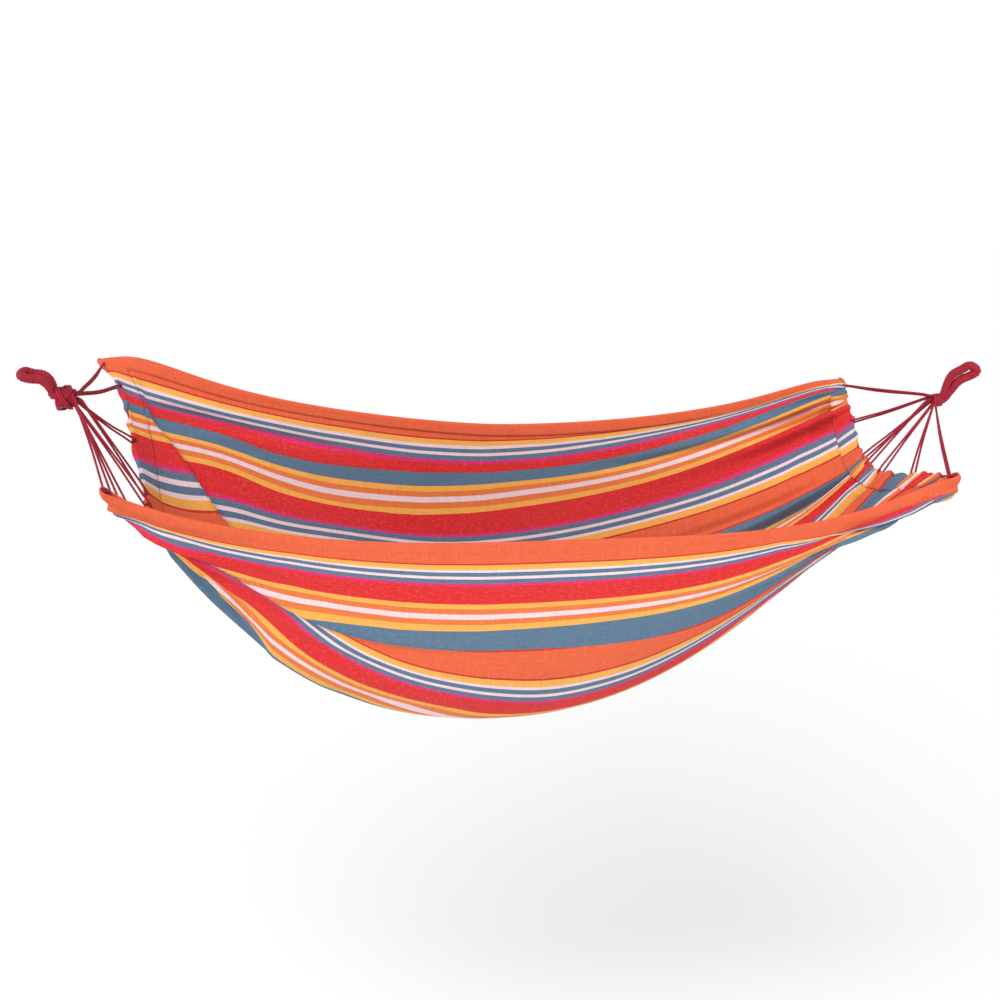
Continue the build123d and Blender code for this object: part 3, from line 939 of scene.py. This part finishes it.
def canvas_grid():
    """The final grid of the bed of the cloth, from hem cord to hem cord."""
    near = np.linspace(0, 1, 151)
    along = 0.5 - 0.5 * np.cos(math.pi * near) * (1 - 0.12 * np.sin(math.pi * near) ** 2)
    along = 0.62 * along + 0.38 * near
    across = np.linspace(0, 1, 221)
    surface = hang_surface(along, across)
    lift = gathers(surface, along, across) + creases(along, across)
    lift += tucks(along, steady_curve(MIDDLE, STRIPES_AT_ROWS)(across))
    normal = surface_normals(surface)
    return surface + normal * lift[..., None], along, across


TUNNEL = 0.05  # from the hem cord to the tunnel's stitching
ROUND_HEM = 0.02  # cloth that goes round each hem cord
TUNNEL_STEPS = 12
LOOP_STEPS = 7
TUNNEL_R = 0.0058  # of the cloth's own middle where it goes round the hem cord
HEM_FOLD = 0.024  # width of the side hems
FOLD_HEIGHT = 0.0026  # of a side hem's turned-in layer over the bed's own middle
FOLD_LAST = 0.0017  # the same at the layer's sewn edge
EDGE_OUT, EDGE_UP = 0.0012, 0.0011  # of the fold itself, past the bed's long edge
CLEW_HOLE_R = 0.0082
STITCH, STITCH_GAP, THREAD_D = 0.005, 0.003, 0.0009
CANVAS_T = 0.0013
JOG = {"left": 0.001, "right": 0.008}  # the tunnel's inner layer is sewn down out of line
MOUTH_SHARE = 0.022  # share of the width over which the tunnel widens to its mouths


def mouth_swell(across):
    """How much wider the tunnel is towards its two open ends."""
    return np.exp(-across / MOUTH_SHARE) + np.exp(-(1 - across) / MOUTH_SHARE)


def end_layers(bed, across, name):
    """The rows that make one end's tunnel: round the hem cord and back over the cloth."""
    order = slice(None) if name == "left" else slice(None, None, -1)
    rows = bed[order]
    normal = surface_normals(bed)[order]
    run = np.linalg.norm(np.diff(rows, axis=0), axis=2).cumsum(axis=0)
    run = np.concatenate([np.zeros((1, rows.shape[1])), run])
    outward = smooth(unit(rows[0] - rows[3]), 3, 0)
    phase = np.linspace(0, 2 * math.pi * 23, rows.shape[1]) + 2.4 * np.sin(across * 17)
    ruffle = 0.0036 * np.sin(phase) + 0.0024 * np.sin(0.37 * phase + 1)
    gap = TUNNEL_R * (1 + mouth_swell(across))
    up = smooth(normal[1], 2, 0)
    loop = []
    for k in range(LOOP_STEPS + 1):
        angle = math.pi * (k / LOOP_STEPS) - math.pi / 2
        reach = (gap + ruffle * math.cos(angle))[:, None]
        loop.append(rows[0] + outward * reach * math.cos(angle) + up * reach * math.sin(angle))
    closed = CANVAS_T * 1.15  # between the two layers' middles where they are sewn together
    flap, flap_along = [], []
    for k in range(1, TUNNEL_STEPS + 1):
        away = TUNNEL * k / TUNNEL_STEPS
        spot, lift = (
            np.concatenate([sample(field[:, j], run[:, j], [away]) for j in range(len(across))])
            for field in (rows, normal))
        height = closed + (gap - closed) * (1 - (away / TUNNEL) ** 1.6)
        flap.append(spot + unit(lift) * height[:, None])
        flap_along.append(-away - ROUND_HEM)
    return np.array(loop), np.array(flap), flap_along


def cloth_mesh():
    """The whole cloth as one skin: bed, end tunnels and folded side hems."""
    bed, along, across = canvas_grid()
    lengths = along * CLOTH_LENGTH
    pieces, marks, jogs = [], [], []
    for name in ("left", "right"):
        loop, flap, flap_marks = end_layers(bed, across, name)
        rows = np.concatenate([flap[::-1], loop[::-1]])
        mark = np.concatenate([np.array(flap_marks[::-1]), np.linspace(-ROUND_HEM, 0, len(loop))])
        jog = np.concatenate([np.full(len(flap), JOG[name]), np.linspace(JOG[name], 0, len(loop))])
        if name == "right":
            rows, mark, jog = rows[::-1], CLOTH_LENGTH - mark[::-1], jog[::-1]
        pieces.append(rows)
        marks.append(mark)
        jogs.append(jog)
    # the bed's own rows sink to the outer face of the tunnel near the hem cord
    normal = surface_normals(bed)
    away = np.minimum(along, 1 - along)[:, None] * CLOTH_LENGTH
    sink = TUNNEL_R * (1 + mouth_swell(across))[None, :] * np.clip(1 - away / TUNNEL, 0, 1) ** 1.4
    bed = (bed - normal * sink[..., None])[1:-1]
    grid = np.concatenate([pieces[0], bed, pieces[1]])
    edge_rows = len(pieces[0])
    mark = np.concatenate([marks[0], lengths[1:-1], marks[1]])
    jog = np.concatenate([jogs[0], np.zeros(len(bed)), jogs[1]])
    facing = surface_normals(grid)
    points, widths = fold_sides(grid, facing, across)
    uv_u = np.broadcast_to(mark[:, None], points.shape[:2])
    stripes = steady_curve(MIDDLE, STRIPES_AT_ROWS)(widths)
    uv_v = np.clip(stripes[None, :] + jog[:, None], 0.0005, 0.9995)
    layers = {"lay": np.stack([uv_u, uv_v], axis=-1)}
    layers.update(stripe_drift(np.clip(mark / CLOTH_LENGTH, 0, 1), stripes))
    layers = {name: pairs.reshape(-1, 2) for name, pairs in layers.items()}
    faces = grid_faces(points.shape[0], points.shape[1], closed=False)
    points = points.reshape(-1, 3)
    faces = faces[~in_clew_holes(points[faces].mean(axis=1))]
    return points, faces, layers, thread_lines(grid, facing, edge_rows)


def in_clew_holes(spots):
    """Which spots lie in the holes where the clews between the corners go round the hem cord."""
    within = np.zeros(len(spots), bool)
    for name, side in SIDES.items():
        neck = place(side["sign"] * NECK_X, 0, 0)
        for number in range(1, len(CELL_ANGLE) - 1):
            centre, _ = wrap_spot(name, number)
            offset = spots - np.array(centre)
            outward = offset @ np.array((neck - centre).normalized()) > 0.0005
            within |= outward & (np.linalg.norm(offset, axis=1) < CLEW_HOLE_R)
    return within


def thread_lines(grid, facing, edge_rows):
    """Where each seam's stitches run: pairs of a line and the way that they stand off the cloth."""
    proud = CANVAS_T / 2 + THREAD_D * 0.2
    folded = proud + FOLD_HEIGHT
    bed = slice(edge_rows, -edge_rows)
    lines = {}
    for name, column in (("front_side", 4), ("back_side", -5)):
        seam, up = grid[bed, column], facing[bed, column]
        lines[name] = [(seam - up * proud, -up), (seam + up * folded, up)]
    for name, rows in (("left_tunnel", (1, edge_rows + 7)), ("right_tunnel", (-2, -edge_rows - 8))):
        pairs = [(grid[row, 2:-2], facing[row, 2:-2]) for row in rows]
        lines[name] = [(seam - up * proud, -up) for seam, up in pairs]
    return lines


def stitches(name, seams):
    """Separate stitches along the seams: short humps of thread that dip into the cloth."""
    share = np.linspace(0, 1, 5)
    turn = np.arange(6) * math.pi / 3
    girth = THREAD_D / 2 * np.array([0.6, 1, 1, 1, 0.6])
    points, faces = [], []
    hump = grid_faces(len(share), len(turn), closed=True)
    for line, up in seams:
        run = distances(line)
        for start in np.arange(STITCH, run[-1] - STITCH, STITCH + STITCH_GAP):
            marks = start + share * STITCH
            spine, away = sample(line, run, marks), unit(sample(up, run, marks))
            side = unit(np.cross(spine[-1] - spine[0], away))
            spine = spine + away * (THREAD_D * 0.6 * (np.sin(math.pi * share) - 0.4))[:, None]
            ring = rings(side, away, turn)
            faces.append(hump + len(points) * len(share) * len(turn))
            points.append((spine[:, None] + ring * girth[:, None, None]).reshape(-1, 3))
    made = mesh_object(name, np.concatenate(points), np.concatenate(faces).tolist())
    return fit_out(made, "bed", "sewing_thread")


def fold_sides(grid, facing, across):
    """Adds the folded side hems: the cloth's two long edges turned in and sewn down."""
    count = int(round(HEM_FOLD / CLOTH_WIDTH * (len(across) - 1))) + 1
    edge_out = {0: unit(grid[:, 0] - grid[:, 2]), -1: unit(grid[:, -1] - grid[:, -3])}
    columns, widths = [grid], [across]
    for index in (0, -1):
        inner = range(0, count + 1) if index == 0 else range(-1, -count - 2, -1)
        edge = grid[:, index] + edge_out[index] * EDGE_OUT + facing[:, index] * EDGE_UP
        strip, marks = [edge], [across[index]]
        for step, k in enumerate(inner):
            height = FOLD_HEIGHT if step < count else FOLD_LAST
            strip.append(grid[:, k] + facing[:, k] * height)
            marks.append(across[k])
        strip = np.stack(strip, axis=1)
        order, spot = (slice(None, None, -1), 0) if index == 0 else (slice(None), len(columns))
        columns.insert(spot, strip[:, order])
        widths.insert(spot, np.array(marks[order]))
    return np.concatenate(columns, axis=1), np.concatenate(widths)


points, faces, layers, seams = cloth_mesh()
cloth = mesh_object("striped_cloth", points, faces, layers)
thicken = cloth.modifiers.new("thickness", "SOLIDIFY")
thicken.thickness = CANVAS_T
thicken.offset = 0
bpy.context.view_layer.objects.active = cloth
bpy.ops.object.modifier_apply(modifier="thickness")
fit_out(cloth, "bed", "striped_canvas")
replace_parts(cloth, "bed_cloth")

for name, lines in seams.items():
    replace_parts(stitches(f"{name}_stitches", lines), f"{name}_thread")

# ---- floor, light and camera
FLOOR_DROP = 1.5  # the floor lies this far under the bed
low, high = cad_box
centre = (low + high) / 2
SUN_ENERGY, SUN_SPREAD = 2.15, 40  # the spread in degrees
STUDIO_STRENGTH = 1.06
OVERHEAD = (0.36, 0.37, 0.39, 1)


def floor_material():
    """The floor: smooth and pale, with a faint unevenness."""
    n = surface_nodes("pale_floor", roughness=0.9, specular=0.1)
    spot = n.add("TexCoord").outputs["Object"]
    grain = n.noise(spot, 3.0, 3.0)
    tone = n.mix(n.math("MULTIPLY", grain, 0.03), srgb("FDFDFC"), (0.8, 0.8, 0.8, 1))
    return n.finish(tone, n.bump(grain, 0.001, 0.1))


def floor_disc():
    """A wide round floor."""
    around, radii = 96, (0.01, 1, 2, 4, 8, 16, 40)
    angle = np.arange(around) * 2 * math.pi / around
    z = low.z - FLOOR_DROP
    points = [(centre.x + r * math.cos(a), r * math.sin(a), z) for r in radii for a in angle]
    floor = mesh_object("floor", points, grid_faces(len(radii), around, closed=True))
    floor.data.materials.append(floor_material())


def sun_light():
    """A broad, soft key light from the front left, above."""
    light = bpy.data.lights.new("sun", "SUN")
    light.energy = SUN_ENERGY
    light.angle = math.radians(SUN_SPREAD)
    lamp = bpy.data.objects.new("sun", light)
    lamp.rotation_euler = Vector((0.45, 0.85, -0.85)).to_track_quat("-Z", "Y").to_euler()
    bpy.context.scene.collection.objects.link(lamp)


def studio_world():
    """A white studio all round, dimmer overhead."""
    n = Nodes(bpy.data.worlds.new("studio"), "Background")
    split = n.add("SeparateXYZ")
    n.join(n.add("TexCoord").outputs["Generated"], split.inputs[0])
    tone = n.ramp(split.outputs[2], [(0.3, WHITE), (0.75, OVERHEAD)])
    n.feed(n.shader, {"Color": tone, "Strength": STUDIO_STRENGTH})
    bpy.context.scene.world = n.owner


floor_disc()
sun_light()
studio_world()
bpy.context.scene.view_settings.view_transform = "Standard"

CAMERA_AZIMUTH, CAMERA_ELEVATION, CAMERA_DISTANCE = -8.0, 15.0, 3.4
CAMERA_ROLL = -1.65
CAMERA_LENS, SENSOR = 49.94, 36.0
LOOK_AT = Vector((1.1031, 0.0, -0.3012))


def set_camera():
    """The camera at the angle that shows the front side and a little of the left end."""
    a, e = math.radians(CAMERA_AZIMUTH), math.radians(CAMERA_ELEVATION)
    back = Vector((math.sin(a) * math.cos(e), -math.cos(a) * math.cos(e), math.sin(e)))
    camera = bpy.data.objects.new("camera", bpy.data.cameras.new("camera"))
    camera.data.lens = CAMERA_LENS
    camera.data.sensor_width = SENSOR
    camera.data.clip_end = 60
    camera.location = LOOK_AT + back * CAMERA_DISTANCE
    level = (-back).to_track_quat("-Z", "Y")
    camera.rotation_mode = "QUATERNION"
    camera.rotation_quaternion = level @ Quaternion((0, 0, 1), -math.radians(CAMERA_ROLL))
    bpy.context.scene.collection.objects.link(camera)
    bpy.context.scene.camera = camera


set_camera()
